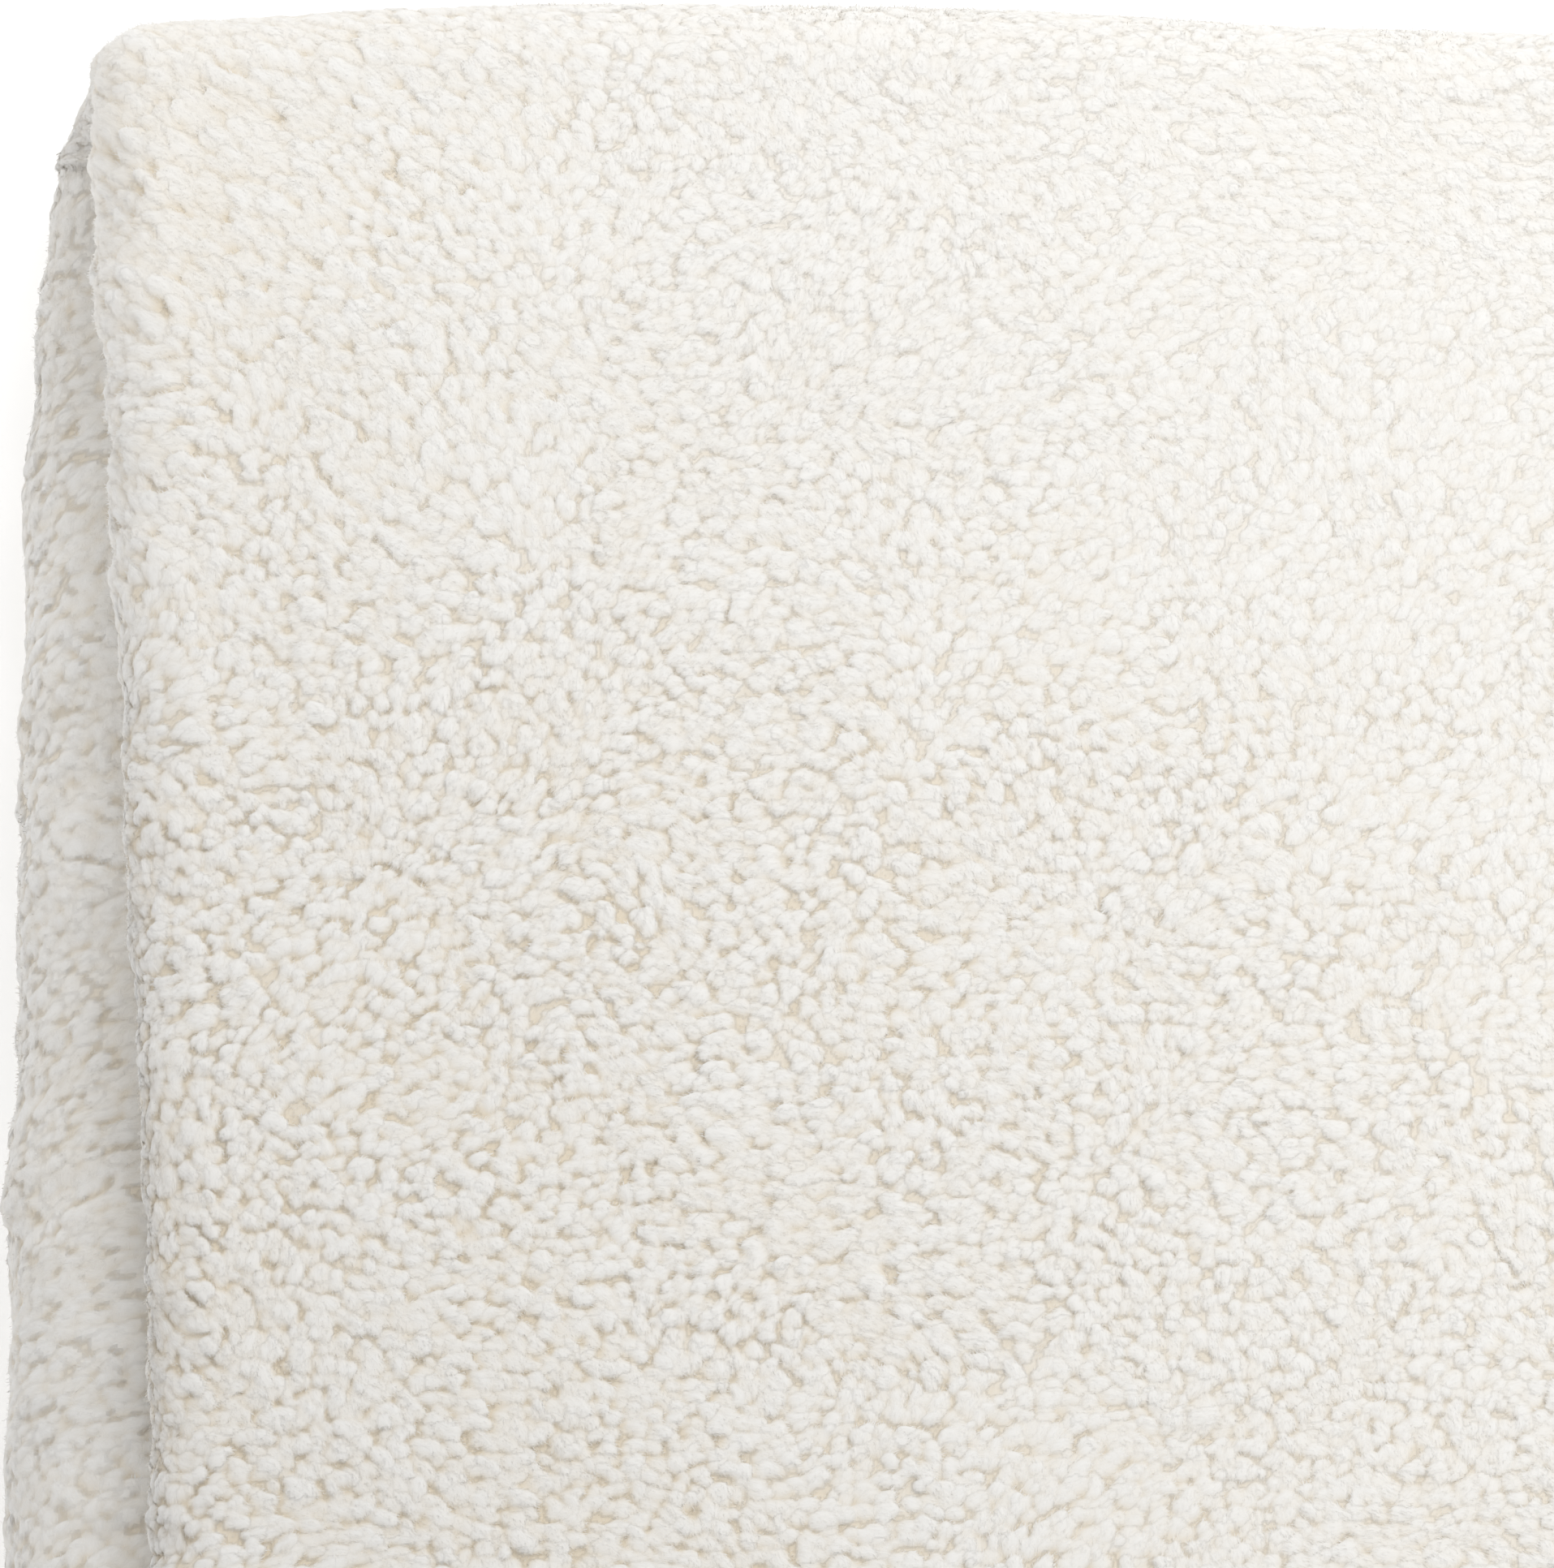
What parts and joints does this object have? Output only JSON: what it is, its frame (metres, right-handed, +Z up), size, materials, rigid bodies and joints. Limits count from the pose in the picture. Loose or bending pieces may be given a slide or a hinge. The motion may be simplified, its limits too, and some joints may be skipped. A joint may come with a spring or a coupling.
{
  "type": "bath mat",
  "caption": "Deep-pile cotton bath mat folded once with its pile outside, with woven backing, grip coating and a taped hem, opening out flat about its fold.",
  "frame": {"origin": "centre of the folded mat's footprint, on the surface it lies on", "axes": "+X along the fold line and the mat's width, +Y out of the fold, away from the open edges, +Z up through the stack"},
  "size_m": [0.5374, 0.4398, 0.0538],
  "materials": {
    "pile_cotton": "matt, warm white cut cotton pile",
    "backing_cloth": "matt, unbleached plain-woven cotton",
    "grip_latex": "matt, off-white latex coating",
    "hem_tape": "matt, woven cotton tape",
    "stitch_thread": "soft sheen, white sewing thread",
    "label_cloth": "smooth white label cloth, blank"
  },
  "bodies": {
    "lower_leaf": {"lower_pile": "pile_cotton", "lower_backing_cloth": "backing_cloth", "lower_grip_coating": "grip_latex", "lower_hem_left": "hem_tape", "lower_hem_right": "hem_tape", "lower_hem_end": "hem_tape", "lower_stitch_left": "stitch_thread", "lower_stitch_right": "stitch_thread", "lower_stitch_end": "stitch_thread", "fold_pile": "pile_cotton", "fold_backing_cloth": "backing_cloth", "fold_grip_coating": "grip_latex", "fold_hem_left": "hem_tape", "fold_hem_right": "hem_tape", "fold_stitch_left": "stitch_thread", "fold_stitch_right": "stitch_thread"},
    "upper_leaf": {"upper_pile": "pile_cotton", "upper_backing_cloth": "backing_cloth", "upper_grip_coating": "grip_latex", "upper_hem_left": "hem_tape", "upper_hem_right": "hem_tape", "upper_hem_end": "hem_tape", "upper_stitch_left": "stitch_thread", "upper_stitch_right": "stitch_thread", "upper_stitch_end": "stitch_thread", "care_label": "label_cloth"}
  },
  "joints": [
    {"name": "fold_hinge", "type": "hinge", "parent": "lower_leaf", "child": "upper_leaf", "pos_m": [-0.00176, 0.19457, 0.0254], "axis": [-0.9998, -0.0201, 0], "range_deg": [0, 179], "deforming": ["fold_pile", "fold_backing_cloth", "fold_grip_coating", "fold_hem_left", "fold_hem_right", "fold_stitch_left", "fold_stitch_right"]}
  ]
}
